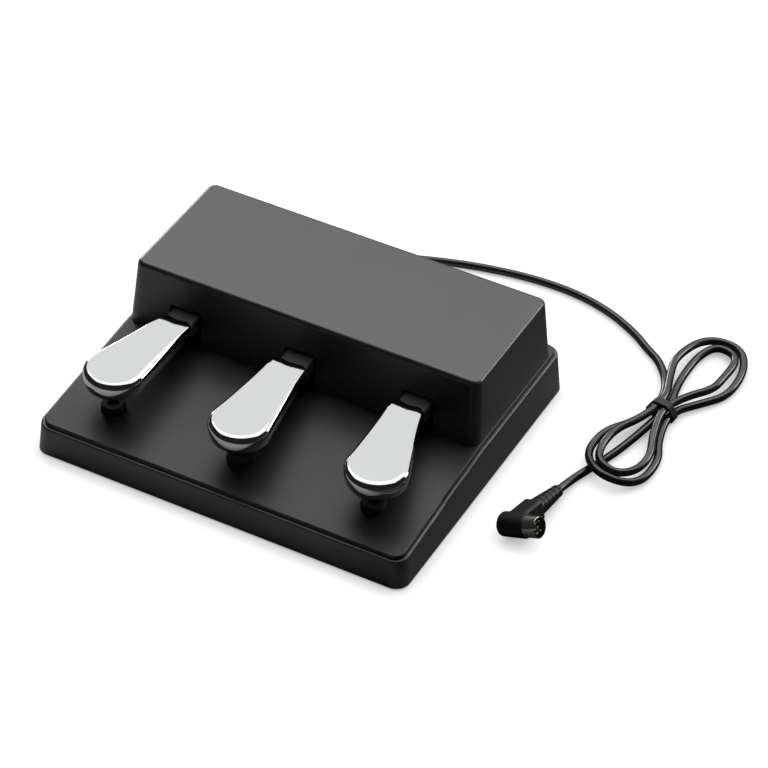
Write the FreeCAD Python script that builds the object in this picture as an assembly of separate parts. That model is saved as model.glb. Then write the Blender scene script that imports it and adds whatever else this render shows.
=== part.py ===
import FreeCAD, Part
import math
import os

Vector = FreeCAD.Vector

# A triple piano pedal unit that stands on the floor: three sprung pedals in a low moulded base.
# Millimetres. X runs to the player's right, Y runs to the back, Z is up.
# The origin is on the floor, under the middle of the base.

# Base and covers
base_width = 250.0
base_depth = 212.0
base_corner_radius = 9.0
floor_gap = 1.5
skirt_front_height = 19.0
skirt_rear_height = 28.0
skirt_draft_angle = 4.2
slope_length = 104.0
slope_blend_radius = 70.0
tray_wall = 2.8
tray_rib = 2.0
tray_rib_height = 7.0
tray_rib_offset = 42.0
tray_rib_front = 8.0
tray_rib_rear_gap = 4.0
tray_floor = 2.5
rim_edge_radius = 1.1
deck_step = 2.4
deck_ledge = 2.0
deck_thickness = 2.2
deck_lip_depth = 8.0
deck_lip_wall = 2.0
deck_edge_radius = 1.0
cover_gap = 0.2
housing_side_inset = 5.2
housing_rear_inset = 10.0
housing_front = 100.2
housing_height = 43.7
housing_side_draft = 3.2
housing_front_draft = 6.0
housing_rear_draft = 4.7
housing_corner_radius = 7.0
housing_edge_radius = 3.0
housing_wall = 3.0
window_margin = 5.0
plate_thickness = 2.0
plate_gap = 0.4
plate_screw_offset = 70.0
plate_screw_front = 89.0
plate_screw_rear_inset = 15.0
foot_radius = 9.0
foot_inset = 22.0

# Pedals
travel_angle = 6.2
pivot_setback = 160.0
pivot_height = 46.0
head_top_height = 55.8
head_depth = 10.8
head_ceiling = 3.0
head_wall = 2.0
head_edge_radius = 3.8
head_upper_depth = 5.4
head_lower_inset = 0.9
head_corner_radius = 4.5
head_rear_bow = 1.0
head_screw_front = 20.0
head_screw_rear = 50.0
centre_nose_radius = 19.3
centre_nose_tip = 12.4
centre_rear_half_width = 11.4
centre_rear = 91.7
outer_nose_radius = 19.5
outer_nose_tip = 16.5
outer_rear_width = 21.0
outer_rear = 92.5
outer_inner_reach = 10.8
arm_width = 18.6
arm_tongue_width = 15.0
arm_shoulder_gap = 0.6
arm_sheet = 2.0
arm_depth = 9.0
arm_front_gap = 2.0
arm_taper_start = 122.0
arm_edge_radius = 1.5
outer_arm_inset = 45.6
slot_side_gap = 1.8
slot_top_gap = 1.7
running_gap = 0.3

# Pivot
shaft_radius = 3.0
shaft_overhang = 4.0
shaft_clearance = 0.05
bush_wall = 1.0
bush_flange = 1.0
bush_flange_radius = 5.5
clip_thickness = 0.7
clip_radius = 5.2
clip_groove_depth = 0.5

# Chassis
chassis_height = 24.0
chassis_sheet = 2.0
chassis_front = 108.5
chassis_margin = 2.0
chassis_screw_inset = 19.4
chassis_screw_rear_gap = 8.0
cheek_length = 27.0
cheek_top_radius = 8.0
rail_front = 114.0
rail_depth = 14.0
rail_sheet = 3.0
rail_leg_inset = 39.4
rail_leg_width = 22.0
rail_foot = 12.0
felt_thickness = 2.5
felt_length = 11.0

# Springs
spring_wire = 1.3
spring_mean_radius = 3.9
spring_setback = 135.0
spring_middle_turns = 5
spring_end_pitch = 1.8
spring_seat_gap = 0.1
spring_cup_radius = 2.9
spring_cup_height = 2.0

# Position sensors
board_thickness = 1.6
board_end_inset = 4.0
board_depth = 12.0
board_standoff = 3.0
board_post_radius = 2.4
board_screw_inset = 3.0
board_screw_bite = 2.5
sensor_width = 9.6
sensor_length = 6.0
sensor_height = 10.4
sensor_slot = 3.0
sensor_slot_floor = 2.4
flag_thickness = 1.0
flag_length = 5.0
flag_reach = 11.8
connector_size = 8.0
connector_height = 6.0
lead_diameter = 3.0
lead_hole_setback = 141.5
lead_hole_width = 7.0
lead_hole_length = 11.0

# Stoppers under the pedals
stopper_radius = 7.6
stopper_edge_radius = 1.4
stopper_cup_radius = 3.6
stopper_cup_depth = 1.6
stopper_seat_depth = 0.8
stopper_stem_radius = 2.4
stopper_stem_length = 5.0
striker_radius = 6.0
centre_stopper_setback = 30.0
outer_stopper_setback = 32.5
post_radius = 5.0
pad_margin = 1.4
pad_thickness = 1.8

# Screws
screw_radius = 1.5
screw_head_radius = 2.9
screw_head_height = 1.9
screw_clearance = 0.06
through_gap = 0.4
counterbore_gap = 0.6
countersink_depth = 1.7
screw_bite = 8.0
screw_tip_gap = 1.0
head_screw_bite = 2.0
board_screw_radius = 1.0
board_screw_head_radius = 2.0
board_screw_head_height = 1.3
column_radius = 5.5
chassis_column_radius = 4.5
plate_column_radius = 3.5
plate_column_height = 6.0
column_web = 3.0
column_rise = 4.0
housing_boss_radius = 4.0
boss_front_gap = 16.0
boss_rear_gap = 14.5
boss_side_gap = 3.1

# Cord
cord_diameter = 5.0
gland_height = 14.0
gland_length = 18.0
gland_flange_radius = 7.0
gland_neck_radius = 4.8
gland_tip_radius = 3.4
hank_middle = (189.3, 108.3)
hank_turn_angle = 6.5
front_left_side = (-17.0, -47.0)
front_end = (5.0, -74.0)
front_right_side = (22.0, -52.0)
rear_right_side = (23.0, 42.0)
rear_end = (1.5, 79.0)
rear_left_side = (-16.5, 50.0)
strand_step = 6.0
wide_strand_step = 8.0
strand_rise = 3.4
waist_pitch = 6.0
waist_layer_rise = 4.8
hank_lead = 3.0
hank_entry = (-18.3, 32.7)
tie_width = 5.0
tie_thickness = 1.0
tie_gap = 0.3

# Plug
plug_body_radius = 7.5
plug_body_length = 18.3
plug_back_length = 9.2
plug_back_edge = 2.5
plug_neck_length = 20.9
plug_neck_half_width = 6.3
plug_neck_edge = 2.0
relief_root_radius = 6.1
relief_tip_radius = 3.8
relief_ribs = 5
relief_rib_depth = 0.4
shell_radius = 6.6
shell_wall = 0.5
shell_length = 8.5
insert_recess = 8.4
pin_radius = 0.72
pin_circle_radius = 3.5
pin_spacing_angle = 60.0
pin_arc_start = 150.0
pin_length = 7.5
plug_middle = (159.4, -31.8, 10.5)
relief_end = (165.5, 13.1, 4.4)
plug_face_direction = (0.933, -0.033, 0.358)

# Levels and places that follow from the sizes
half_depth = base_depth / 2
housing_width = base_width - 2 * housing_side_inset
housing_depth = base_depth - housing_front - housing_rear_inset
skirt_slope = math.tan(math.radians(skirt_draft_angle))
deck_rear_level = floor_gap + skirt_rear_height + deck_step
housing_top = deck_rear_level + housing_height
tray_floor_bottom = floor_gap + plate_thickness + 0.5
tray_floor_top = tray_floor_bottom + tray_floor
plate_bottom = tray_floor_bottom - plate_thickness
plate_column_top = tray_floor_top + plate_column_height
arm_top = head_top_height - head_ceiling
web_bottom = arm_top - arm_sheet
head_bottom = head_top_height - head_depth
chassis_top = chassis_height + chassis_sheet
board_bottom = chassis_top + board_standoff
board_top = board_bottom + board_thickness
bush_radius = shaft_radius + shaft_clearance + bush_wall
cheek_inner = arm_width / 2 + bush_flange + running_gap
outer_arm_offset = base_width / 2 - outer_arm_inset
outer_inner_edge = outer_arm_offset - outer_inner_reach
chassis_half_width = outer_arm_offset + cheek_inner + chassis_sheet + chassis_margin
chassis_screw_offset = outer_arm_offset - chassis_screw_inset
rail_leg_offset = outer_arm_offset - rail_leg_inset
gland_offset = -rail_leg_offset
board_width = 2 * (chassis_half_width - board_end_inset)
rail_bottom = arm_top + felt_thickness
arm_end_radius = arm_top - pivot_height
arm_end_angle = math.radians(60.0)
block_top = housing_top
column_top = chassis_height + column_rise
chassis_rear = pivot_setback + cheek_length / 2 + chassis_margin
housing_boss_offset = housing_width / 2 - housing_side_draft - housing_wall - housing_boss_radius - boss_side_gap


def from_front(distance):
    """Y of a place that lies a distance behind the front edge of the base."""
    return distance - half_depth


pivot_y = from_front(pivot_setback)
board_middle_y = from_front(chassis_front + board_depth / 2)
board_end_screw = board_width / 2 - board_screw_inset
board_screw_x = (-board_end_screw, -rail_leg_offset, rail_leg_offset, board_end_screw)
lead_hole_x = gland_offset / 2
lead_hole_y = from_front(lead_hole_setback)
gland_inner_y = half_depth - 8.0
gland_seat_y = half_depth - skirt_slope * (gland_height + gland_flange_radius + 0.5 - floor_gap) - 0.2
gland_tip_y = gland_seat_y + gland_length
gland_grip_y = gland_seat_y - tray_wall - 1.0
plug_neck_span = Vector(*relief_end) - Vector(*plug_middle)
plug_axis_along = Vector(plug_neck_span).normalize()
relief_length = plug_neck_span.Length - plug_neck_length
plug_front = plug_body_length - plug_back_length
pedal_places = {"left": -outer_arm_offset, "centre": 0.0, "right": outer_arm_offset}
outer_nose_x = outer_inner_edge + outer_nose_radius
stopper_places = {
    "left": (-outer_nose_x, from_front(outer_stopper_setback)),
    "centre": (0.0, from_front(centre_stopper_setback)),
    "right": (outer_nose_x, from_front(outer_stopper_setback)),
}
rail_foot_y = from_front(rail_front + rail_depth + rail_foot / 2)
rear_screw_y = from_front(chassis_rear - chassis_screw_rear_gap)
column_rows = (
    from_front(housing_front + boss_front_gap),
    from_front(housing_front + housing_depth - boss_rear_gap),
)
column_places = [(x, y) for x in (-housing_boss_offset, housing_boss_offset) for y in column_rows]
plate_screw_places = [
    (x, y)
    for x in (-plate_screw_offset, 0.0, plate_screw_offset)
    for y in (from_front(plate_screw_front), half_depth - plate_screw_rear_inset)
]
foot_places = [
    (x, y)
    for x in (foot_inset - base_width / 2, base_width / 2 - foot_inset)
    for y in (foot_inset - half_depth, half_depth - foot_inset)
]
chassis_screw_places = [
    (x, y)
    for x in (-chassis_screw_offset, -rail_leg_offset, rail_leg_offset, chassis_screw_offset)
    for y in (rail_foot_y, rear_screw_y)
]


def box(low, high):
    """A block between two corners."""
    size = [b - a for a, b in zip(low, high)]
    return Part.makeBox(size[0], size[1], size[2], Vector(*low))


def cylinder(radius, x, y, low, high):
    """An upright round bar."""
    return Part.makeCylinder(radius, high - low, Vector(x, y, low))


def rounded_rectangle(width, depth, radius, level, middle_y=0.0):
    """A level closed outline with round corners."""
    x = width / 2
    y = depth / 2
    edges = []
    for turn in range(4):
        angle = math.pi / 2 * turn
        sign_x = 1 if turn in (0, 3) else -1
        sign_y = 1 if turn in (0, 1) else -1
        corner = Vector(sign_x * (x - radius), middle_y + sign_y * (y - radius), level)
        points = []
        for part in (0.0, 0.5, 1.0):
            here = angle + part * math.pi / 2
            points.append(corner + Vector(radius * math.cos(here), radius * math.sin(here), 0))
        if edges:
            edges.append(Part.LineSegment(edges[-1].Vertexes[-1].Point, points[0]).toShape())
        edges.append(Part.Arc(*points).toShape())
    edges.append(Part.LineSegment(edges[-1].Vertexes[-1].Point, edges[0].Vertexes[0].Point).toShape())
    return Part.Wire(edges)


def leaning_block(width, depth, radius, low, high, slope):
    """A block with round corners whose four walls lean inwards as they rise."""
    inset = 2 * slope * (high - low)
    bottom = rounded_rectangle(width, depth, radius, low)
    top = rounded_rectangle(width - inset, depth - inset, radius, high)
    return Part.makeLoft([bottom, top], True, True)


def skirt_block(inset, low, high):
    """The space inside the leaning outer wall, set in all round by an inset."""
    lean = 2 * (skirt_slope * (low - floor_gap) + inset)
    radius = base_corner_radius - inset
    return leaning_block(base_width - lean, base_depth - lean, radius, low, high, skirt_slope)


def below_deck(lift):
    """Everything under a surface that rises with the rim and is level under the housing."""
    front = floor_gap + skirt_front_height + lift
    rear = floor_gap + skirt_rear_height + lift
    angle = math.atan((rear - front) / slope_length)
    reach = slope_blend_radius * math.tan(angle / 2)
    margin = 20.0
    kink = from_front(slope_length)
    start = Vector(0, -half_depth - margin, front - margin * math.tan(angle))
    slope_end = Vector(0, kink - reach * math.cos(angle), rear - reach * math.sin(angle))
    blend_top = Vector(0, kink + reach, rear)
    mid_angle = angle / 2
    blend_centre = blend_top - Vector(0, 0, slope_blend_radius)
    blend_middle = blend_centre + Vector(
        0, -slope_blend_radius * math.sin(mid_angle), slope_blend_radius * math.cos(mid_angle)
    )
    rear_end = Vector(0, half_depth + margin, rear)
    floor_rear = Vector(0, half_depth + margin, -margin)
    floor_front = Vector(0, -half_depth - margin, -margin)
    edges = [
        Part.LineSegment(start, slope_end).toShape(),
        Part.Arc(slope_end, blend_middle, blend_top).toShape(),
        Part.LineSegment(blend_top, rear_end).toShape(),
        Part.LineSegment(rear_end, floor_rear).toShape(),
        Part.LineSegment(floor_rear, floor_front).toShape(),
        Part.LineSegment(floor_front, start).toShape(),
    ]
    face = Part.Face(Part.Wire(edges))
    face.translate(Vector(-base_width / 2 - margin, 0, 0))
    return face.extrude(Vector(base_width + 2 * margin, 0, 0))


def deck_level(y):
    """Height of the deck's top face at a place."""
    share = min(1.0, (y + half_depth) / slope_length)
    rise = (skirt_rear_height - skirt_front_height) * share
    return floor_gap + skirt_front_height + rise + deck_step


def round_top_edge(block, radius, width, depth):
    """Rounds the outline of a block's top, but not the smooth lines that cross it."""
    chosen = []
    for edge in block.Edges:
        middle = edge.valueAt((edge.FirstParameter + edge.LastParameter) / 2)
        low = min(vertex.Z for vertex in edge.Vertexes)
        near_side = abs(middle.x) > width / 2 - 12.0 or abs(middle.y) > depth / 2 - 12.0
        if near_side and low > floor_gap + skirt_front_height - 1.0:
            if edge.BoundBox.ZLength < (skirt_rear_height - skirt_front_height) + 1.0:
                chosen.append(edge)
    return block.makeFillet(radius, chosen)


def make_base_tray():
    """The lower moulding: a leaning skirt with a floor, columns for the covers and bosses."""
    outside = skirt_block(0.0, floor_gap, block_top).common(below_deck(0.0))
    outside = round_top_edge(outside, rim_edge_radius, base_width, base_depth)
    tray = outside.cut(skirt_block(tray_wall, tray_floor_top, block_top))
    tray = tray.cut(skirt_block(tray_wall, floor_gap, tray_floor_bottom))
    for x, y in column_places:
        tray = tray.fuse(cylinder(column_radius, x, y, tray_floor_top, column_top))
    for x, y in chassis_screw_places:
        tray = tray.fuse(cylinder(chassis_column_radius, x, y, tray_floor_top, chassis_height))
    for x, y in plate_screw_places:
        tray = tray.fuse(cylinder(plate_column_radius, x, y, tray_floor_top, plate_column_top))
    rib_half = tray_rib / 2
    rib_front = from_front(tray_rib_front)
    rib_rear = from_front(housing_front - tray_rib_rear_gap)
    for x in (-tray_rib_offset, tray_rib_offset):
        low = (x - rib_half, rib_front, tray_floor_top)
        tray = tray.fuse(box(low, (x + rib_half, rib_rear, tray_floor_top + tray_rib_height)))
    for x, y in column_places:
        tray = tray.cut(cylinder(screw_head_radius + counterbore_gap, x, y, 0, column_top - column_web))
        tray = tray.cut(cylinder(screw_radius + through_gap, x, y, 0, column_top + 1))
    for x, y in chassis_screw_places:
        hole_bottom = chassis_height - screw_bite - screw_tip_gap
        tray = tray.cut(cylinder(screw_radius + screw_clearance, x, y, hole_bottom, chassis_height + 1))
    for x, y in plate_screw_places:
        hole_top = plate_column_top - screw_tip_gap
        tray = tray.cut(cylinder(screw_radius + screw_clearance, x, y, 0, hole_top))
    for x, y in stopper_places.values():
        tray = tray.cut(cylinder(screw_radius + through_gap, x, y, 0, tray_floor_top + 1))
    gland_hole = Part.makeCylinder(
        gland_neck_radius + cover_gap / 2,
        20.0,
        Vector(gland_offset, half_depth - 15, gland_height),
        Vector(0, 1, 0),
    )
    spot_face = Part.makeCylinder(
        gland_flange_radius + running_gap,
        10.0,
        Vector(gland_offset, gland_seat_y, gland_height),
        Vector(0, 1, 0),
    )
    return tray.cut(gland_hole).cut(spot_face).removeSplitter()


def make_deck_panel():
    """The raised deck that closes the tray: a sloping top with a lip inside the rim and a window."""
    inset = tray_wall + cover_gap
    plate = skirt_block(deck_ledge, tray_floor_top, block_top).common(below_deck(deck_step))
    plate = round_top_edge(plate, deck_edge_radius, base_width, base_depth).cut(below_deck(0.0))
    lip = skirt_block(inset, tray_floor_top, block_top).common(below_deck(deck_step / 4))
    inside = skirt_block(inset + deck_lip_wall, tray_floor_top - 1, block_top)
    panel = plate.fuse(lip).cut(inside.common(below_deck(deck_step - deck_thickness)))
    panel = panel.cut(below_deck(-deck_lip_depth))
    front = from_front(housing_front + window_margin)
    rear = from_front(housing_front + housing_depth - housing_wall - window_margin)
    side = housing_width / 2 - housing_wall - window_margin
    window = rounded_rectangle(2 * side, rear - front, 4.0, 0.0, (front + rear) / 2)
    panel = panel.cut(Part.Face(window).extrude(Vector(0, 0, block_top)))
    for x, y in stopper_places.values():
        post = cylinder(post_radius, x, y, tray_floor_top, deck_level(y) - deck_thickness / 2)
        seat = stopper_seat_level(y)
        pad_radius = stopper_radius + pad_margin
        pad = cylinder(pad_radius, x, y, seat - pad_thickness, deck_level(y) - deck_thickness / 2)
        panel = panel.fuse(post).fuse(pad)
        panel = panel.cut(cylinder(stopper_radius + cover_gap, x, y, seat, block_top))
        stem_end = seat - stopper_stem_length
        panel = panel.cut(cylinder(stopper_stem_radius + screw_clearance, x, y, stem_end - 0.5, block_top))
        hole_top = tray_floor_top + screw_bite + screw_tip_gap
        panel = panel.cut(cylinder(screw_radius + screw_clearance, x, y, 0, hole_top))
    return panel.removeSplitter()


def stopper_seat_level(y):
    """Level of the flat seat that is sunk into the sloping deck for a stopper."""
    return deck_level(y - stopper_radius) - stopper_seat_depth


def make_housing():
    """The drafted box over the mechanism, with a slot for each pedal arm."""
    middle = from_front(housing_front + housing_depth / 2)
    top_width = housing_width - 2 * housing_side_draft
    top_depth = housing_depth - housing_front_draft - housing_rear_draft
    top_middle = middle + (housing_front_draft - housing_rear_draft) / 2
    top_radius = housing_corner_radius - 1.5

    def drafted(inset, low, high):
        """The housing's outline between two levels, set in by a wall."""
        wires = []
        for level in (low, high):
            share = (level - deck_rear_level) / housing_height
            width = housing_width + (top_width - housing_width) * share - 2 * inset
            depth = housing_depth + (top_depth - housing_depth) * share - 2 * inset
            place = middle + (top_middle - middle) * share
            radius = housing_corner_radius + (top_radius - housing_corner_radius) * share - inset
            wires.append(rounded_rectangle(width, depth, radius, level, place))
        return Part.makeLoft(wires, True, True)

    shell = drafted(0.0, deck_rear_level - 1, housing_top)
    top_edges = [edge for edge in shell.Edges if edge.BoundBox.ZMin > housing_top - 0.01]
    shell = shell.makeFillet(housing_edge_radius, top_edges)
    shell = shell.cut(drafted(housing_wall, deck_rear_level - 2, housing_top - housing_wall))
    shell = shell.cut(below_deck(deck_step))
    half_slot = arm_width / 2 + slot_side_gap
    slot_top = arm_top + slot_top_gap
    front = from_front(housing_front - 1)
    for x in pedal_places.values():
        slot = box((x - half_slot, front, deck_rear_level - 2), (x + half_slot, front + 9, slot_top))
        corners = []
        for edge in slot.Edges:
            if edge.BoundBox.YLength > 5 and edge.BoundBox.ZMin > slot_top - 0.01:
                corners.append(edge)
        shell = shell.cut(slot.makeFillet(2.0, corners))
    for x, y in column_places:
        boss = cylinder(housing_boss_radius, x, y, column_top, housing_top - housing_wall / 2)
        shell = shell.fuse(boss)
        hole = cylinder(screw_radius + screw_clearance, x, y, column_top - 1, column_top + screw_bite + screw_tip_gap)
        shell = shell.cut(hole)
    return shell.removeSplitter()


def make_base_plate():
    """The steel ballast plate under the tray."""
    inset = tray_wall + plate_gap
    plate = skirt_block(inset, plate_bottom, tray_floor_bottom)
    for x, y in column_places:
        plate = plate.cut(cylinder(screw_head_radius + counterbore_gap, x, y, 0, tray_floor_top))
    for x, y in stopper_places.values():
        plate = plate.cut(cylinder(screw_head_radius + counterbore_gap, x, y, 0, tray_floor_top))
    for x, y in plate_screw_places:
        wide = screw_head_radius + screw_clearance
        narrow = screw_radius + screw_clearance
        plate = plate.cut(Part.makeCone(wide, narrow, countersink_depth, Vector(x, y, plate_bottom)))
        plate = plate.cut(cylinder(narrow, x, y, 0, tray_floor_top))
    return plate


def make_rubber_feet():
    """Four thin pads that the unit stands on."""
    feet = []
    for x, y in foot_places:
        foot = cylinder(foot_radius, x, y, 0, plate_bottom)
        rim = [edge for edge in foot.Edges if edge.BoundBox.ZMax < 0.01]
        feet.append(foot.makeFillet(0.6, rim))
    return feet


def arc_from(start, direction, end):
    """An arc that leaves a point in a given direction and reaches another point."""
    chord = end - start
    along = Vector(chord).normalize()
    side = direction - along * direction.dot(along)
    if side.Length < 1e-6:
        return Part.LineSegment(start, end).toShape()
    turn = math.atan2(side.Length, direction.dot(along))
    side.normalize()
    middle = start + chord * 0.5 + side * (chord.Length / 2 * math.tan(turn / 2))
    return Part.Arc(start, middle, end).toShape()


def side_normal(nose, corner, difference, side):
    """Outward direction of a straight side that touches a large nose circle and a small corner."""
    along = (corner - nose).normalize()
    across = Vector(along.y, -along.x, 0) * side
    share = difference / (corner - nose).Length
    return along * share + across * math.sqrt(1 - share * share)


def head_outline(nose, nose_radius, left, right, rear, inset, level):
    """A pedal's outline: a round nose, two straight sides, round corners and a hollow rear edge."""
    nose = Vector(nose[0], nose[1], level)
    corner_y = from_front(rear) - head_corner_radius
    left_corner = Vector(left + head_corner_radius, corner_y, level)
    right_corner = Vector(right - head_corner_radius, corner_y, level)
    difference = nose_radius - head_corner_radius
    right_out = side_normal(nose, right_corner, difference, 1)
    left_out = side_normal(nose, left_corner, difference, -1)
    half = (right_corner.x - left_corner.x) / 2
    bow_reach = (half * half - head_rear_bow * head_rear_bow) / (2 * head_rear_bow)
    bow_middle = Vector((left + right) / 2, corner_y + bow_reach, level)
    bow_radius = bow_reach - head_corner_radius + head_rear_bow + inset
    round_nose = nose_radius - inset
    round_corner = head_corner_radius - inset
    points = []
    for corner, out in ((right_corner, right_out), (left_corner, left_out)):
        towards_bow = (bow_middle - corner).normalize()
        bisector = (out + towards_bow).normalize()
        points.append([
            nose + out * round_nose,
            corner + out * round_corner,
            corner + bisector * round_corner,
            corner + towards_bow * round_corner,
        ])
    right_side, left_side = points
    return Part.Wire([
        Part.Arc(left_side[0], nose - Vector(0, round_nose, 0), right_side[0]).toShape(),
        Part.LineSegment(right_side[0], right_side[1]).toShape(),
        Part.Arc(right_side[1], right_side[2], right_side[3]).toShape(),
        Part.Arc(right_side[3], bow_middle - Vector(0, bow_radius, 0), left_side[3]).toShape(),
        Part.Arc(left_side[3], left_side[2], left_side[1]).toShape(),
        Part.LineSegment(left_side[1], left_side[0]).toShape(),
    ])


def centre_outline(inset, level):
    """The middle pedal's outline, the same on both sides."""
    nose = (0.0, from_front(centre_nose_tip) + centre_nose_radius)
    half = centre_rear_half_width
    return head_outline(nose, centre_nose_radius, -half, half, centre_rear, inset, level)


def outer_outline(inset, level):
    """The right pedal's outline: its inner side is straight and its outer side flares."""
    nose = (outer_nose_x, from_front(outer_nose_tip) + outer_nose_radius)
    right = outer_inner_edge + outer_rear_width
    return head_outline(nose, outer_nose_radius, outer_inner_edge, right, outer_rear, inset, level)


def make_head(outline, arm_x, stopper, rear):
    """A plated casting: a round-edged cap with a hollow that takes the arm."""
    split = head_top_height - head_upper_depth
    wide = outline(0.0, split)
    upper = Part.Face(wide).extrude(Vector(0, 0, head_upper_depth))
    top_edges = [edge for edge in upper.Edges if edge.BoundBox.ZMin > head_top_height - 0.01]
    upper = upper.makeFillet(head_edge_radius, top_edges)
    lower = Part.makeLoft([outline(head_lower_inset, head_bottom), wide], True, True)
    head = upper.fuse(lower).removeSplitter()
    hollow = Part.Face(outline(head_lower_inset + head_wall, head_bottom - 1))
    hollow = hollow.extrude(Vector(0, 0, arm_top - head_bottom + 1))
    striker = cylinder(striker_radius, stopper[0], stopper[1], head_bottom - 2, arm_top)
    head = head.cut(hollow.cut(striker))
    half = arm_tongue_width / 2 + cover_gap
    notch = box((arm_x - half, from_front(rear - 12), head_bottom - 1), (arm_x + half, from_front(rear + 5), arm_top))
    head = head.cut(notch)
    for y in head_screw_rows(stopper):
        hole_top = arm_top + head_screw_bite + screw_clearance
        head = head.cut(cylinder(screw_radius + screw_clearance, arm_x, y, arm_top - 1, hole_top))
    return head


def head_screw_rows(stopper):
    """Places of the two screws that hold a head on its arm."""
    return (stopper[1] + head_screw_front, stopper[1] + head_screw_rear)


def make_arm(arm_x, stopper, rear):
    """A pressed steel channel to the pivot, with a narrower tongue in the head's hollow."""
    front = stopper[1] + striker_radius + arm_front_gap
    low = arm_top - arm_depth
    pivot = Vector(0, pivot_y, pivot_height)
    taper = from_front(arm_taper_start)
    lowest = pivot - Vector(0, 0, arm_end_radius)
    end_middle = pivot + Vector(0, arm_end_radius, 0)
    arc_end = pivot + Vector(0, arm_end_radius * math.cos(arm_end_angle), arm_end_radius * math.sin(arm_end_angle))
    top_end = pivot + Vector(0, arm_end_radius * math.tan(math.pi / 4 - arm_end_angle / 2), arm_end_radius)
    edges = [
        Part.LineSegment(Vector(0, front, low), Vector(0, taper, low)).toShape(),
        Part.LineSegment(Vector(0, taper, low), lowest).toShape(),
        Part.Arc(lowest, end_middle, arc_end).toShape(),
        Part.LineSegment(arc_end, top_end).toShape(),
        Part.LineSegment(top_end, Vector(0, front, arm_top)).toShape(),
        Part.LineSegment(Vector(0, front, arm_top), Vector(0, front, low)).toShape(),
    ]
    face = Part.Face(Part.Wire(edges))
    half = arm_width / 2
    face.translate(Vector(arm_x - half, 0, 0))
    arm = face.extrude(Vector(arm_width, 0, 0))
    bar = box((arm_x - half, front - 5, head_bottom - 30), (arm_x + half, pivot_y + 20, arm_top))
    long_edges = [
        edge for edge in bar.Edges
        if edge.BoundBox.ZMin > arm_top - 0.01 and edge.BoundBox.YLength > 50
    ]
    arm = arm.common(bar.makeFillet(arm_edge_radius, long_edges))
    inner = half - arm_sheet
    tongue = arm_tongue_width / 2
    tongue_inner = tongue - arm_sheet
    shoulder = from_front(rear + arm_shoulder_gap)
    wide_start = shoulder + arm_sheet
    arm = arm.cut(box((arm_x - inner, wide_start, 0), (arm_x + inner, pivot_y + 20, web_bottom)))
    arm = arm.cut(box((arm_x - tongue_inner, front - 1, 0), (arm_x + tongue_inner, wide_start + 1, web_bottom)))
    for left, right in ((-half - 1, -tongue), (tongue, half + 1)):
        arm = arm.cut(box((arm_x + left, front - 1, 0), (arm_x + right, shoulder, arm_top + 1)))
    hole = Part.makeCylinder(bush_radius + 0.02, 40, Vector(arm_x - 20, pivot_y, pivot_height), Vector(1, 0, 0))
    arm = arm.cut(hole)
    for y in head_screw_rows(stopper):
        arm = arm.cut(cylinder(screw_radius + 0.2, arm_x, y, web_bottom - 1, arm_top + 1))
    return arm


def make_bushes(arm_x):
    """Two flanged plastic bushes that carry the arm on the shaft."""
    bushes = []
    for side in (-1, 1):
        inner = arm_x + side * (arm_width / 2 - arm_sheet)
        outer = arm_x + side * arm_width / 2
        direction = Vector(side, 0, 0)
        barrel = Part.makeCylinder(bush_radius, arm_sheet, Vector(inner, pivot_y, pivot_height), direction)
        flange = Part.makeCylinder(
            bush_flange_radius, bush_flange, Vector(outer, pivot_y, pivot_height), direction
        )
        bore = Part.makeCylinder(
            shaft_radius + shaft_clearance,
            arm_sheet + bush_flange + 2,
            Vector(inner - side, pivot_y, pivot_height),
            direction,
        )
        bushes.append(barrel.fuse(flange).cut(bore))
    return bushes


def make_head_screws(arm_x, stopper):
    """Two screws that hold a head on its arm, from below."""
    screws = []
    for y in head_screw_rows(stopper):
        shank = cylinder(screw_radius, arm_x, y, web_bottom, arm_top + head_screw_bite)
        head = cylinder(screw_head_radius, arm_x, y, web_bottom - screw_head_height, web_bottom)
        screws.append(shank.fuse(head))
    return screws


def make_flag(arm_x):
    """The thin blade under an arm that moves in the slot of its light sensor."""
    y = from_front(chassis_front + board_depth / 2)
    blade = box(
        (arm_x - flag_thickness / 2, y - flag_length / 2, web_bottom - flag_reach),
        (arm_x + flag_thickness / 2, y + flag_length / 2, web_bottom),
    )
    foot = box(
        (arm_x - flag_thickness / 2, y - flag_length / 2, web_bottom - 0.8),
        (arm_x + 4.0, y + flag_length / 2, web_bottom),
    )
    return blade.fuse(foot).removeSplitter()


def biarc(start, leaving, end, arriving):
    """Two smooth arcs between two points with given directions."""
    span = end - start
    both = leaving + arriving
    spread = 2 * (1 - leaving.dot(arriving))
    if spread < 1e-6:
        reach = span.dot(span) / (4 * span.dot(arriving))
    else:
        along = span.dot(both)
        reach = (math.sqrt(along * along + spread * span.dot(span)) - along) / spread
    joint = (start + end + (leaving - arriving) * reach) * 0.5
    across = (joint - (start + leaving * reach)).normalize()
    return [arc_from(start, leaving, joint), arc_from(joint, across, end)]


def tube(edges, diameter):
    """A round tube along a smooth path."""
    path = Part.Wire(edges)
    first = path.Edges[0]
    start = first.Vertexes[0].Point
    direction = first.tangentAt(first.FirstParameter)
    ring = Part.Wire(Part.Circle(start, direction, diameter / 2).toShape())
    return path.makePipeShell([ring], True, False)


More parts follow.
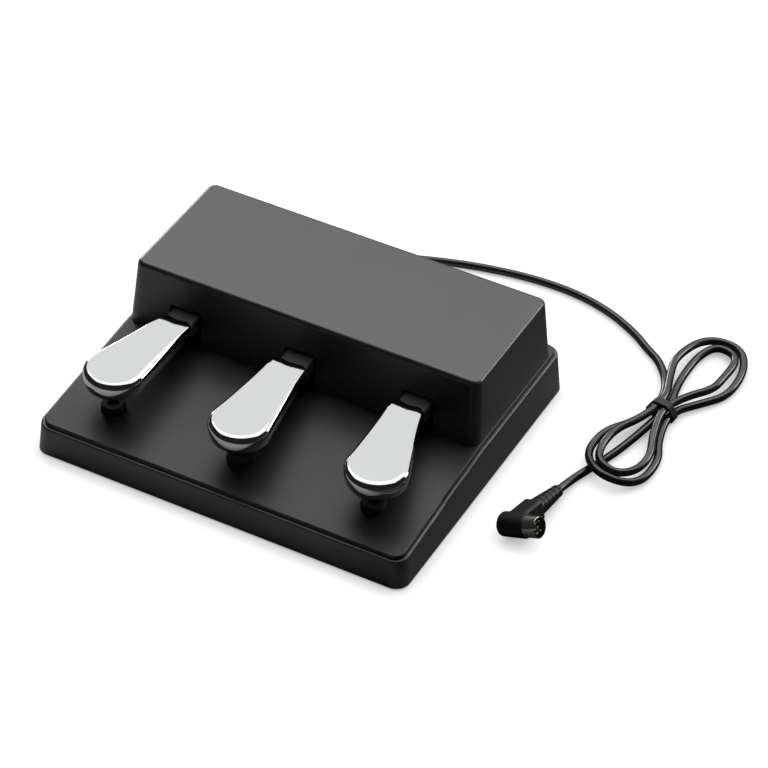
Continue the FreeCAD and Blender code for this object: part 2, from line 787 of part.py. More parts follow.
def make_spring(arm_x):
    """A return spring: a wound wire with close end turns, between the chassis and the arm."""
    y = from_front(spring_setback)
    bottom = chassis_top + spring_seat_gap + spring_wire / 2
    top = web_bottom - spring_seat_gap - spring_wire / 2
    middle_pitch = (top - bottom - 2 * spring_end_pitch) / spring_middle_turns
    pitches = [spring_end_pitch] + [middle_pitch] * spring_middle_turns + [spring_end_pitch]
    points = []
    level = bottom
    for turn, pitch in enumerate(pitches):
        for quarter in range(4):
            angle = math.pi / 2 * quarter
            points.append((angle, level + pitch * quarter / 4, pitch))
        level += pitch
    points.append((0.0, level, spring_end_pitch))
    knots = []
    for angle, height, pitch in points:
        place = Vector(arm_x + spring_mean_radius * math.cos(angle), y + spring_mean_radius * math.sin(angle), height)
        rise = pitch / (2 * math.pi * spring_mean_radius)
        direction = Vector(-math.sin(angle), math.cos(angle), rise).normalize()
        knots.append((place, direction))
    edges = []
    for (place, direction), (next_place, next_direction) in zip(knots, knots[1:]):
        edges.extend(biarc(place, direction, next_place, next_direction))
    gap = least_self_gap(edges, spring_wire, math.pi * spring_mean_radius)
    print("return spring: least gap to itself", round(gap, 2))
    return tube(edges, spring_wire)


def make_chassis():
    """The pressed steel plate with six upright cheeks that carry the shaft."""
    front = from_front(chassis_front)
    rear = from_front(chassis_rear)
    outline = rounded_rectangle(2 * chassis_half_width, rear - front, 4.0, chassis_height, (front + rear) / 2)
    chassis = Part.Face(outline).extrude(Vector(0, 0, chassis_sheet))
    low = Vector(0, pivot_y - cheek_length / 2, chassis_top - 0.5)
    far = Vector(0, pivot_y + cheek_length / 2, chassis_top - 0.5)
    top_front = Vector(0, pivot_y - cheek_top_radius, pivot_height)
    top_middle = Vector(0, pivot_y, pivot_height + cheek_top_radius)
    top_rear = Vector(0, pivot_y + cheek_top_radius, pivot_height)
    cheek_face = Part.Face(Part.Wire([
        Part.LineSegment(low, top_front).toShape(),
        Part.Arc(top_front, top_middle, top_rear).toShape(),
        Part.LineSegment(top_rear, far).toShape(),
        Part.LineSegment(far, low).toShape(),
    ]))
    for x in pedal_places.values():
        for side in (-1, 1):
            inner = x + side * cheek_inner
            cheek = cheek_face.copy()
            cheek.translate(Vector(inner, 0, 0))
            chassis = chassis.fuse(cheek.extrude(Vector(side * chassis_sheet, 0, 0)))
        chassis = chassis.fuse(cylinder(
            spring_cup_radius, x, from_front(spring_setback), chassis_top - 0.5, chassis_top + spring_cup_height
        ))
    for x in board_screw_x:
        chassis = chassis.fuse(cylinder(board_post_radius, x, board_middle_y, chassis_top - 0.5, board_bottom))
    bore = Part.makeCylinder(
        shaft_radius + 0.03,
        2 * chassis_half_width,
        Vector(-chassis_half_width, pivot_y, pivot_height),
        Vector(1, 0, 0),
    )
    chassis = chassis.cut(bore)
    for x, y in chassis_screw_places:
        chassis = chassis.cut(cylinder(screw_radius + 0.3, x, y, chassis_height - 1, chassis_top + 1))
    for x in board_screw_x:
        hole_radius = board_screw_radius + screw_clearance
        chassis = chassis.cut(cylinder(hole_radius, x, board_middle_y, chassis_height - 1, board_bottom + 1))
    low = (lead_hole_x - lead_hole_width / 2, lead_hole_y - lead_hole_length / 2, chassis_height - 1)
    high = (lead_hole_x + lead_hole_width / 2, lead_hole_y + lead_hole_length / 2, chassis_top + 1)
    return chassis.cut(box(low, high)).removeSplitter()


def make_stop_rail():
    """The bar over the arms that sets their rest height, on two bent legs."""
    half = outer_arm_offset + felt_length / 2 + 3
    front = from_front(rail_front)
    rear = front + rail_depth
    rail = box((-half, front, rail_bottom), (half, rear, rail_bottom + rail_sheet))
    for x in (-rail_leg_offset, rail_leg_offset):
        left = x - rail_leg_width / 2
        right = x + rail_leg_width / 2
        leg = box((left, rear - rail_sheet, chassis_top), (right, rear, rail_bottom + rail_sheet))
        foot = box((left, rear - rail_sheet, chassis_top), (right, rear + rail_foot, chassis_top + rail_sheet))
        rail = rail.fuse(leg).fuse(foot)
        rail = rail.cut(cylinder(screw_radius + 0.3, x, rail_foot_y, chassis_top - 1, chassis_top + rail_sheet + 1))
    return rail.removeSplitter()


def make_rest_felts():
    """Felt pads under the rail that the arms come to rest against."""
    front = from_front(rail_front) + 1.0
    half = felt_length / 2
    felts = []
    for x in pedal_places.values():
        felts.append(box((x - half, front, arm_top), (x + half, front + rail_depth - 2, rail_bottom)))
    return felts


def make_shaft():
    """The steel shaft that all three pedals turn on, grooved for its clips."""
    length = shaft_half_length
    shaft = Part.makeCylinder(shaft_radius, 2 * length, Vector(-length, pivot_y, pivot_height), Vector(1, 0, 0))
    ends = [edge for edge in shaft.Edges if edge.BoundBox.XLength < 0.01]
    shaft = shaft.makeChamfer(0.5, ends)
    for side in (-1, 1):
        x = side * clip_place
        groove = clip_ring(x, shaft_radius + 1, shaft_radius - clip_groove_depth, clip_thickness + 0.1)
        shaft = shaft.cut(groove)
    return shaft


cheek_outer_face = outer_arm_offset + cheek_inner + chassis_sheet
clip_place = cheek_outer_face + 0.5 + clip_thickness / 2
shaft_half_length = cheek_outer_face + shaft_overhang


def clip_ring(x, outer, inner, thickness):
    """A flat ring round the shaft's axis, centred at x."""
    start = Vector(x - thickness / 2, pivot_y, pivot_height)
    ring = Part.makeCylinder(outer, thickness, start, Vector(1, 0, 0))
    return ring.cut(Part.makeCylinder(inner, thickness, start, Vector(1, 0, 0)))


def make_shaft_clips():
    """Two spring clips that keep the shaft in the cheeks."""
    clips = []
    for side in (-1, 1):
        x = side * clip_place
        ring = clip_ring(x, clip_radius, shaft_radius - clip_groove_depth + 0.02, clip_thickness)
        mouth = box((x - 2, pivot_y - 1.6, pivot_height - 10), (x + 2, pivot_y + 1.6, pivot_height))
        clips.append(ring.cut(mouth))
    return clips


def make_sensor_board():
    """The circuit board in front of the arms."""
    y = board_middle_y
    board = box((-board_width / 2, y - board_depth / 2, board_bottom), (board_width / 2, y + board_depth / 2, board_top))
    for x in board_screw_x:
        board = board.cut(cylinder(board_screw_radius + through_gap, x, y, board_bottom - 1, board_top + 1))
    return board


def make_board_screws():
    """Small screws that hold the circuit board."""
    y = board_middle_y
    screws = []
    for x in board_screw_x:
        shank = cylinder(board_screw_radius, x, y, board_bottom - board_screw_bite, board_top)
        head = cylinder(board_screw_head_radius, x, y, board_top, board_top + board_screw_head_height)
        screws.append(shank.fuse(head))
    return screws


def make_light_sensors():
    """A slotted light sensor under each arm."""
    y = board_middle_y
    sensors = []
    for x in pedal_places.values():
        body = box(
            (x - sensor_width / 2, y - sensor_length / 2, board_top),
            (x + sensor_width / 2, y + sensor_length / 2, board_top + sensor_height),
        )
        slot = box(
            (x - sensor_slot / 2, y - sensor_length, board_top + sensor_slot_floor),
            (x + sensor_slot / 2, y + sensor_length, board_top + sensor_height + 1),
        )
        sensors.append(body.cut(slot))
    return sensors


def make_board_connector():
    """The socket that the inner lead plugs into."""
    half = connector_size / 2
    y = board_middle_y
    low = (lead_hole_x - half, y - half, board_top)
    high = (lead_hole_x + half, y + half, board_top + connector_height)
    return box(low, high)


def inner_lead_points():
    """The lead from the gland, under the chassis, up through its hole and to the board's socket."""
    x = lead_hole_x
    low_end = lead_hole_y + 9.0
    span = gland_inner_y - low_end
    socket_rear = board_middle_y + connector_size / 2
    level = board_top + connector_height / 2
    return [
        Vector(gland_offset, gland_inner_y, gland_height),
        Vector(gland_offset, low_end + 0.79 * span, gland_height),
        Vector(gland_offset + 7.0, low_end + 0.58 * span, gland_height - 0.5),
        Vector(gland_offset + 13.0, low_end + 0.37 * span, gland_height - 0.5),
        Vector(x, low_end, gland_height + 1.0),
        Vector(x, lead_hole_y - 9.0, level),
        Vector(x, socket_rear, level),
    ]


def rounded_route(points, name):
    """Straight runs joined by arcs that are as large as the runs allow."""
    edges = []
    radii = []
    last = points[0]
    length = 0.0
    for before, corner, after in zip(points, points[1:], points[2:]):
        into = (corner - before)
        out = (after - corner)
        turn = into.getAngle(out)
        reach = 0.45 * min(into.Length, out.Length)
        radii.append(round(reach / math.tan(turn / 2), 1))
        start = corner - Vector(into).normalize() * reach
        end = corner + Vector(out).normalize() * reach
        edges.append(Part.LineSegment(last, start).toShape())
        edges.append(arc_from(start, Vector(into).normalize(), end))
        last = end
    edges.append(Part.LineSegment(last, points[-1]).toShape())
    length = sum(edge.Length for edge in edges)
    print(name, "radii", radii, "length", round(length, 1))
    return edges


def hank_place(across, along, level):
    """A point given across and along the hank's own axis."""
    angle = math.radians(hank_turn_angle)
    x = hank_middle[0] + across * math.cos(angle) + along * math.sin(angle)
    y = hank_middle[1] - across * math.sin(angle) + along * math.cos(angle)
    return Vector(x, y, level)


def hank_direction(across, along, rise=0.0):
    """A direction given across and along the hank's own axis."""
    return (hank_place(across, along, rise) - hank_place(0, 0, 0)).normalize()


floor_level = cord_diameter / 2
waist_level = floor_level + tie_thickness + tie_gap + 0.1
upper_waist_level = waist_level + waist_layer_rise
crossing_level = floor_level + cord_diameter + 1.5
side_level = floor_level + cord_diameter - 0.5
entry_level = floor_level + cord_diameter + 0.3

# Places on the hank's two turns: across, along and level, and the way the cord runs there
hank_shape = (
    (*hank_entry, floor_level, 1, -1),
    (-waist_pitch, 0, waist_level, 0, -1),
    (*front_left_side, side_level, 0, -1),
    (*front_end, crossing_level, 1, 0),
    (*front_right_side, floor_level, 0, 1),
    (waist_pitch, 0, waist_level, 0, 1),
    (*rear_right_side, floor_level, 0, 1),
    (*rear_end, entry_level - strand_rise, -1, 0),
    (*rear_left_side, entry_level, 0, -1),
    (-waist_pitch / 2, 0, upper_waist_level, 0, -1),
    (front_left_side[0] + strand_step, front_left_side[1], side_level + strand_rise, 0, -1),
    (front_end[0], front_end[1] + strand_step, crossing_level, 1, 0),
    (front_right_side[0] - strand_step, front_right_side[1], floor_level + strand_rise, 0, 1),
    (waist_pitch / 2, 0, upper_waist_level, 0, 1),
    (rear_right_side[0] - wide_strand_step, rear_right_side[1], floor_level + strand_rise, 0, 1),
    (rear_end[0], rear_end[1] - strand_step, floor_level + strand_rise / 2, -1, 0),
    (rear_left_side[0] + wide_strand_step, rear_left_side[1], floor_level, 0, -1),
    (0, 0, waist_level, 0, -1),
)


def hank_knots():
    """The hank's places and directions, turned to how it lies."""
    knots = []
    for across, along, level, across_way, along_way in hank_shape:
        knots.append((hank_place(across, along, level), hank_direction(across_way, along_way)))
    return knots


def make_hank():
    """The part of the cord that is wound up: one tube, in loops drawn in by the tie."""
    knots = hank_knots()
    start, leaving = knots[0]
    end, arriving = knots[-1]
    edges = [Part.LineSegment(start - leaving * hank_lead, start).toShape()]
    for (place, direction), (next_place, next_direction) in zip(knots, knots[1:]):
        edges.extend(biarc(place, direction, next_place, next_direction))
    edges.append(Part.LineSegment(end, end + arriving * hank_lead).toShape())
    return edges


def least_self_gap(edges, diameter, apart):
    """The least gap between parts of a tube that lie well apart along its path."""
    points = []
    travelled = 0.0
    for edge in edges:
        count = max(2, int(edge.Length / (0.3 * diameter)))
        first = edge.FirstParameter
        last = edge.LastParameter
        for step in range(count):
            parameter = first + (last - first) * step / count
            points.append((travelled + edge.Length * step / count, edge.valueAt(parameter)))
        travelled += edge.Length
    least = 1e9
    for index, (place, point) in enumerate(points):
        for other_place, other in points[index + 1:]:
            if other_place - place > apart:
                least = min(least, point.distanceToPoint(other))
    return least - diameter


def make_tie():
    """The flat tie that is pulled round the bundle at the waist of the hank."""
    places = (
        (-waist_pitch, waist_level),
        (-waist_pitch / 2, upper_waist_level),
        (waist_pitch / 2, upper_waist_level),
        (waist_pitch, waist_level),
    )
    centres = [hank_place(across, -tie_width / 2, level) for across, level in places]
    followers = centres[1:] + centres[:1]
    length = hank_direction(0, 1) * tie_width
    normals = [(after - centre).cross(length).normalize() for centre, after in zip(centres, followers)]

    def wrapped(radius):
        """An upright outline round the four outer strands of the bundle."""
        edges = []
        for index, centre in enumerate(centres):
            arriving = normals[index - 1] * radius
            leaving = normals[index] * radius
            tip = (arriving + leaving).normalize() * radius
            edges.append(Part.Arc(centre + arriving, centre + tip, centre + leaving).toShape())
            edges.append(Part.LineSegment(centre + leaving, followers[index] + leaving).toShape())
        return Part.Wire(edges)

    inside = cord_diameter / 2 + tie_gap
    outer = Part.Face(wrapped(inside + tie_thickness)).extrude(length)
    inner = Part.Face(wrapped(inside)).extrude(length)
    return outer.cut(inner)


def make_gland():
    """The moulded strain relief where the cord leaves the back of the base."""
    profile = [
        (0.0, gland_inner_y),
        (gland_neck_radius + 1.2, gland_inner_y),
        (gland_neck_radius + 1.2, gland_grip_y),
        (gland_neck_radius, gland_grip_y),
        (gland_neck_radius, gland_seat_y),
        (gland_flange_radius, gland_seat_y),
        (gland_flange_radius, gland_seat_y + 2.0),
        (gland_tip_radius + 1.6, gland_seat_y + 3.0),
        (gland_tip_radius, gland_tip_y),
        (0.0, gland_tip_y),
    ]
    points = [Vector(gland_offset + radius, y, gland_height) for radius, y in profile]
    face = Part.Face(Part.makePolygon(points + [points[0]]))
    return face.revolve(Vector(gland_offset, 0, gland_height), Vector(0, 1, 0), 360)


def plug_placement():
    """Turns the plug from its own axes, face up and neck along Y, to how it lies."""
    neck = Vector(plug_axis_along)
    face = Vector(*plug_face_direction)
    face = (face - neck * face.dot(neck)).normalize()
    side = neck.cross(face)
    matrix = FreeCAD.Matrix(
        side.x, neck.x, face.x, plug_middle[0],
        side.y, neck.y, face.y, plug_middle[1],
        side.z, neck.z, face.z, plug_middle[2],
        0, 0, 0, 1,
    )
    return FreeCAD.Placement(matrix)


def placed(shape):
    """A plug piece, moved to where the plug lies."""
    copy = shape.copy()
    copy.Placement = plug_placement().multiply(copy.Placement)
    return copy


def make_plug_body():
    """The moulded right-angle grip of the plug."""
    back = -plug_back_length
    body = cylinder(plug_body_radius, 0, 0, back, back + plug_body_length)
    low_edges = [edge for edge in body.Edges if edge.BoundBox.ZMax < back + 0.01]
    body = body.makeFillet(plug_back_edge, low_edges)
    high_edges = [edge for edge in body.Edges if edge.BoundBox.ZMin > back + plug_body_length - 0.01]
    body = body.makeFillet(0.8, high_edges)
    half = plug_neck_half_width
    neck = box((-half, 0, -half), (half, plug_neck_length, half))
    long_edges = [edge for edge in neck.Edges if edge.BoundBox.YLength > plug_neck_length - 1]
    body = body.fuse(neck.makeFillet(plug_neck_edge, long_edges))
    socket = cylinder(shell_radius + 0.05, 0, 0, back + plug_body_length - 3.0, back + plug_body_length + 1)
    return placed(body.cut(socket).removeSplitter())


def make_plug_relief():
    """The tapered, grooved sleeve between the plug and the cord."""
    pitch = relief_length / (relief_ribs + 0.5)
    taper = (relief_tip_radius - relief_root_radius) / relief_length
    profile = [(0.0, plug_neck_length)]
    for rib in range(relief_ribs + 1):
        start = pitch * rib
        end = start + pitch / 2
        profile.append((relief_root_radius + taper * start, plug_neck_length + start))
        profile.append((relief_root_radius + taper * end, plug_neck_length + end))
        if rib < relief_ribs:
            floor_radius = relief_root_radius + taper * (end + pitch / 4) - relief_rib_depth
            profile.append((floor_radius, plug_neck_length + end))
            profile.append((floor_radius, plug_neck_length + end + pitch / 2))
    profile.append((0.0, plug_neck_length + relief_length))
    points = [Vector(radius, y, 0) for radius, y in profile]
    face = Part.Face(Part.makePolygon(points + [points[0]]))
    return placed(face.revolve(Vector(0, 0, 0), Vector(0, 1, 0), 360))


def make_plug_shell():
    """The drawn metal sleeve round the pins, open at the face."""
    start = plug_front - 3.0
    end = plug_front + shell_length
    outside = cylinder(shell_radius, 0, 0, start, end)
    lip = [edge for edge in outside.Edges if edge.BoundBox.ZMin > end - 0.01]
    outside = outside.makeFillet(shell_wall * 0.6, lip)
    return placed(outside.cut(cylinder(shell_radius - shell_wall, 0, 0, start - 1, end + 1)))


def pin_places():
    """Five pins on an arc and one in the middle."""
    places = [(0.0, 0.0)]
    for index in range(5):
        angle = math.radians(pin_arc_start + pin_spacing_angle * index)
        places.append((pin_circle_radius * math.cos(angle), pin_circle_radius * math.sin(angle)))
    return places


def make_plug_insert():
    """The moulded block that holds the pins, with the key beside them."""
    radius = shell_radius - shell_wall - 0.05
    start = plug_front - 2.9
    face = plug_front + shell_length - insert_recess
    insert = cylinder(radius, 0, 0, start, face)
    key_angle = math.radians(pin_arc_start - pin_spacing_angle)
    key = cylinder(1.3, 4.4 * math.cos(key_angle), 4.4 * math.sin(key_angle), face - 1, face + 7.0)
    insert = insert.fuse(key)
    for x, y in pin_places():
        insert = insert.cut(cylinder(pin_radius + 0.03, x, y, face - 2.0, face + 1))
    return placed(insert.removeSplitter())


def make_plug_pins():
    """Six round contact pins."""
    face = plug_front + shell_length - insert_recess
    pins = []
    for x, y in pin_places():
        pin = cylinder(pin_radius, x, y, face - 1.9, face + pin_length)
        tip = [edge for edge in pin.Edges if edge.BoundBox.ZMin > face + pin_length - 0.01]
        pins.append(placed(pin.makeFillet(0.35, tip)))
    return pins


def make_stopper(x, y, top):
    """A rubber stopper with a hollow top and a stem pushed into the deck."""
    seat = stopper_seat_level(y)
    disc = cylinder(stopper_radius, x, y, seat, top)
    rim = [edge for edge in disc.Edges if edge.BoundBox.ZMin > top - 0.01]
    disc = disc.makeFillet(stopper_edge_radius, rim)
    disc = disc.cut(cylinder(stopper_cup_radius, x, y, top - stopper_cup_depth, top + 1))
    return disc.fuse(cylinder(stopper_stem_radius, x, y, seat - stopper_stem_length, seat + 0.5))


def stopper_top(y):
    """Level at which a striker meets its stopper when the pedal is fully down."""
    angle = math.radians(travel_angle)
    along = y - striker_radius - pivot_y
    height = head_bottom - pivot_height
    return pivot_height + along * math.sin(angle) + height * math.cos(angle) - running_gap


def upright_screw(x, y, seat, tip, upwards):
    """A pan-head screw; its head lies on the far side of the seat from its tip."""
    shank = cylinder(screw_radius, x, y, min(seat, tip), max(seat, tip))
    if upwards:
        return shank.fuse(cylinder(screw_head_radius, x, y, seat - screw_head_height, seat))
    return shank.fuse(cylinder(screw_head_radius, x, y, seat, seat + screw_head_height))


def make_housing_screws():
    """Long screws from below that pull the housing down."""
    seat = column_top - column_web
    return [upright_screw(x, y, seat, column_top + screw_bite, True) for x, y in column_places]


def make_chassis_screws():
    """Screws that hold the chassis, four of them through the feet of the rail."""
    screws = []
    for x, y in chassis_screw_places:
        on_foot = abs(abs(x) - rail_leg_offset) < 1 and y < pivot_y - 15
        seat = chassis_top + rail_sheet if on_foot else chassis_top
        screws.append(upright_screw(x, y, seat, chassis_height - screw_bite, False))
    return screws


def make_deck_screws():
    """Screws from below into the posts of the deck."""
    screws = []
    for x, y in stopper_places.values():
        screws.append(upright_screw(x, y, tray_floor_bottom, tray_floor_top + screw_bite, True))
    return screws


def make_plate_screws():
    """Countersunk screws that hold the ballast plate."""
    screws = []
    for x, y in plate_screw_places:
        cone = Part.makeCone(screw_head_radius, screw_radius, countersink_depth, Vector(x, y, plate_bottom))
        tip = plate_column_top - 2 * screw_tip_gap
        screws.append(cone.fuse(cylinder(screw_radius, x, y, plate_bottom + countersink_depth / 2, tip)))
    return screws


def cord_run_points():
    """The free stretch from the gland to the hank, chosen by hand."""
    entry = hank_place(*hank_entry, floor_level)
    way = hank_direction(1, -1)
    end = entry - way * hank_lead
    before = end - way * 10.0
    return [
        Vector(gland_offset, gland_tip_y, gland_height),
        Vector(gland_offset, gland_tip_y + 14.0, gland_height),
        Vector(gland_offset + 6.0, gland_tip_y + 30.0, 7.0),
        Vector(-18.0, 164.5, 3.0),
        Vector(4.0, 173.8, floor_level),
        Vector(30.0, 181.5, floor_level),
        Vector(61.0, 187.0, floor_level),
        Vector(92.0, 187.5, floor_level),
        Vector(120.0, 181.0, floor_level),
        Vector(143.0, 169.5, floor_level),
        hank_place(-38.5, 47.0, floor_level),
        before,
        end,
    ]


def cord_tail_points():
    """The free stretch from the hank to the plug, chosen by hand."""
    end = Vector(*relief_end)
    start = hank_place(0, -hank_lead, waist_level)
    return [
        start,
        start - hank_direction(0, 1) * 17.0,
        Vector(180.5, 63.0, floor_level + 0.2),
        Vector(172.0, 40.0, floor_level),
        end + plug_axis_along * 13.0,
        end,
    ]


def make_parts():
    """Every piece, by name."""
    parts = {
        "base_tray": make_base_tray(),
        "deck_panel": make_deck_panel(),
        "housing": make_housing(),
        "base_plate": make_base_plate(),
        "rubber_feet": make_rubber_feet(),
        "pedal_chassis": make_chassis(),
        "stop_rail": make_stop_rail(),
        "rest_felts": make_rest_felts(),
        "pivot_shaft": make_shaft(),
        "shaft_clips": make_shaft_clips(),
        "sensor_board": make_sensor_board(),
        "light_sensors": make_light_sensors(),
        "board_connector": make_board_connector(),
        "board_screws": make_board_screws(),
        "housing_screws": make_housing_screws(),
        "chassis_screws": make_chassis_screws(),
        "deck_screws": make_deck_screws(),
        "plate_screws": make_plate_screws(),
        "cord_gland": make_gland(),
        "hank_tie": make_tie(),
        "plug_body": make_plug_body(),
        "plug_relief": make_plug_relief(),
        "plug_shell": make_plug_shell(),
        "plug_insert": make_plug_insert(),
        "plug_pins": make_plug_pins(),
    }
    parts["deck_stoppers"] = [make_stopper(x, y, stopper_top(y)) for x, y in stopper_places.values()]
    mirror_origin = Vector(0, 0, 0)
    mirror_normal = Vector(1, 0, 0)
    right_head = make_head(outer_outline, outer_arm_offset, stopper_places["right"], outer_rear)
    heads = {
        "right": right_head,
        "left": right_head.mirror(mirror_origin, mirror_normal),
        "centre": make_head(centre_outline, 0.0, stopper_places["centre"], centre_rear),
    }
    for side, x in pedal_places.items():
        stopper = stopper_places[side]
        parts["pedal_head_" + side] = heads[side]
        parts["pedal_arm_" + side] = make_arm(x, stopper, centre_rear if side == "centre" else outer_rear)
        parts["pivot_bushes_" + side] = make_bushes(x)
        parts["head_screws_" + side] = make_head_screws(x, stopper)
        parts["sensor_flag_" + side] = make_flag(x)
        parts["return_spring_" + side] = make_spring(x)
    run = rounded_route(cord_run_points(), "cord run")
    tail = rounded_route(cord_tail_points(), "cord tail")
    hank = make_hank()
    total = sum(edge.Length for edge in run + hank + tail)
    print("hank length", round(sum(edge.Length for edge in hank), 1), "cord length", round(total, 1))
    gap = least_self_gap(run + hank + tail, cord_diameter, 8 * cord_diameter)
    print("cord: least gap to itself", round(gap, 2))
    parts["cord_run"] = tube(run, cord_diameter)
    parts["cord_hank"] = tube(hank, cord_diameter)
    parts["cord_tail"] = tube(tail, cord_diameter)
    lead = rounded_route(inner_lead_points(), "inner lead")
    parts["inner_lead"] = tube(lead, lead_diameter)
    tubes = (("cord_run", run, cord_diameter), ("cord_hank", hank, cord_diameter))
    tubes += (("cord_tail", tail, cord_diameter), ("inner_lead", lead, lead_diameter))
    for name, edges, diameter in tubes:
        expected = sum(edge.Length for edge in edges) * math.pi * diameter * diameter / 4
        print(name, "volume over section times length", round(parts[name].Volume / expected, 4))
    return parts


def main():
    """Writes each piece to its own file."""
    os.makedirs("parts", exist_ok=True)
    for name, shape in make_parts().items():
        if isinstance(shape, list):
            shape = Part.makeCompound(shape)
        shape.exportStep("parts/" + name + ".step")
        print(name, "valid" if shape.isValid() else "NOT VALID", len(shape.Solids), round(shape.Volume, 1))


main()
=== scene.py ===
import math
from collections import namedtuple

import bmesh
import bpy
from mathutils import Matrix, Vector


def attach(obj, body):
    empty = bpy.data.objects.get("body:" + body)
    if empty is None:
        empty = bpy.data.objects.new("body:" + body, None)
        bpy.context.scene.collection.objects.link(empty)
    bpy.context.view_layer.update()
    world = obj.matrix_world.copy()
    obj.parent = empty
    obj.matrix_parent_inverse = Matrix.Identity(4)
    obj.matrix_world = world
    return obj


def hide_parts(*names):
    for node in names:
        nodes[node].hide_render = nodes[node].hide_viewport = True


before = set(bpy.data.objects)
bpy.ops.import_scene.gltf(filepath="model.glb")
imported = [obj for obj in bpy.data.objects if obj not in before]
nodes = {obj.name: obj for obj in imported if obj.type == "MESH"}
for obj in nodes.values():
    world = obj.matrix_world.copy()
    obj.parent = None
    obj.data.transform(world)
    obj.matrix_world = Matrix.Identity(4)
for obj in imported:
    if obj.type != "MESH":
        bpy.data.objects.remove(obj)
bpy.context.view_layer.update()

# Camera
# The pedal unit is seen from its front right corner, from standing height, with a long lens
# that hardly draws its lines together.
camera_data = bpy.data.cameras.new("camera")
camera_data.lens = 159.769
camera_data.sensor_width = 36.0
camera = bpy.data.objects.new("camera", camera_data)
camera.location = (0.758104, -1.357275, 1.363783)
camera.rotation_euler = [math.radians(angle) for angle in (49.32212, -1.08692, 28.32389)]
bpy.context.scene.collection.objects.link(camera)
bpy.context.scene.camera = camera
bpy.context.scene.view_settings.view_transform = "Standard"

# Floor
# A plain white table top. The camera sees it glowing white, as if lit from below its surface as well,
# and an occlusion mask dims that glow near the unit into a narrow soft painted shadow. To the unit
# itself it stays dark, as under a black card.
# Its left part is lighter in mirror images, for the band along the pedals' noses.
floor_material = bpy.data.materials.new("white_floor")
floor_material.use_nodes = True
floor_nodes = floor_material.node_tree.nodes
floor_links = floor_material.node_tree.links
floor_shader = floor_nodes["Principled BSDF"]
floor_shader.inputs["Roughness"].default_value = 0.9
floor_shader.inputs["Specular IOR Level"].default_value = 0.0
floor_shader.inputs["Emission Color"].default_value = (1.0, 1.0, 1.0, 1.0)
floor_rays = floor_nodes.new("ShaderNodeLightPath")
floor_dark = floor_nodes.new("ShaderNodeMix")
floor_dark.data_type = "RGBA"
floor_dark.inputs["A"].default_value = (0.03, 0.03, 0.03, 1.0)
floor_place = floor_nodes.new("ShaderNodeTexCoord")
floor_axes = floor_nodes.new("ShaderNodeSeparateXYZ")
floor_links.new(floor_place.outputs["Object"], floor_axes.inputs[0])
floor_mirrored = floor_nodes.new("ShaderNodeMapRange")
floor_mirrored.inputs["From Min"].default_value = 0.06
floor_mirrored.inputs["From Max"].default_value = 0.16
floor_mirrored.inputs["To Min"].default_value = 0.80
floor_mirrored.inputs["To Max"].default_value = 0.10
floor_links.new(floor_axes.outputs["X"], floor_mirrored.inputs["Value"])
floor_links.new(floor_mirrored.outputs["Result"], floor_dark.inputs["B"])
floor_links.new(floor_rays.outputs["Is Glossy Ray"], floor_dark.inputs["Factor"])
floor_tone = floor_nodes.new("ShaderNodeMix")
floor_tone.data_type = "RGBA"
floor_tone.inputs["B"].default_value = (0.35, 0.35, 0.35, 1.0)
floor_links.new(floor_rays.outputs["Is Camera Ray"], floor_tone.inputs["Factor"])
floor_links.new(floor_dark.outputs["Result"], floor_tone.inputs["A"])
floor_links.new(floor_tone.outputs["Result"], floor_shader.inputs["Base Color"])
# Painted shadow: the glow the camera sees is dimmed wherever ambient occlusion finds the unit close by.
floor_painted_shadow_mask = floor_nodes.new("ShaderNodeAmbientOcclusion")
floor_painted_shadow_mask.samples = 16
floor_painted_shadow_mask.inputs["Distance"].default_value = 0.011
floor_glow_and_painted_shadow = floor_nodes.new("ShaderNodeMapRange")
floor_glow_and_painted_shadow.inputs["To Min"].default_value = 0.25
floor_glow_and_painted_shadow.inputs["To Max"].default_value = 0.98
floor_links.new(floor_painted_shadow_mask.outputs["AO"], floor_glow_and_painted_shadow.inputs["Value"])
floor_glow = floor_nodes.new("ShaderNodeMath")
floor_glow.operation = "MULTIPLY"
floor_links.new(floor_rays.outputs["Is Camera Ray"], floor_glow.inputs[0])
floor_links.new(floor_glow_and_painted_shadow.outputs["Result"], floor_glow.inputs[1])
floor_links.new(floor_glow.outputs[0], floor_shader.inputs["Emission Strength"])

floor_mesh = bpy.data.meshes.new("floor")
floor_shape = bmesh.new()
bmesh.ops.create_grid(floor_shape, x_segments=1, y_segments=1, size=6.0)
bmesh.ops.translate(floor_shape, vec=(0.0, 0.0, -0.0002), verts=floor_shape.verts)
floor_shape.to_mesh(floor_mesh)
floor_shape.free()
floor_mesh.materials.append(floor_material)
floor = bpy.data.objects.new("floor", floor_mesh)
bpy.context.scene.collection.objects.link(floor)

# Light
# All the light comes from behind the unit: a wide soft box at the left, a brighter one over its
# rear, and a small one low on each side, which draws a bright line along the edges.
def soft_box(name, place, aim, width, height, level):
    """A rectangular light that shines with the same level at any size."""
    data = bpy.data.lights.new(name, "AREA")
    data.shape = "RECTANGLE"
    data.size = width
    data.size_y = height
    data.energy = level * math.pi * width * height
    light = bpy.data.objects.new(name, data)
    light.location = place
    light.rotation_euler = (Vector(aim) - light.location).to_track_quat("-Z", "Y").to_euler()
    bpy.context.scene.collection.objects.link(light)


soft_box("wide_light", (-0.35, 1.60, 1.35), (0.0, 0.0, 0.0), 3.6, 1.5, 1.12)
soft_box("upper_light", (-0.15, 0.75, 1.75), (0.0, 0.0, 0.0), 2.4, 1.2, 1.6)
soft_box("right_light", (1.00, 1.10, 0.55), (0.0, 0.0, 0.03), 0.42, 0.42, 7.5)
soft_box("left_light", (-1.20, 1.05, 0.22), (0.0, 0.0, 0.03), 0.60, 0.35, 9.0)

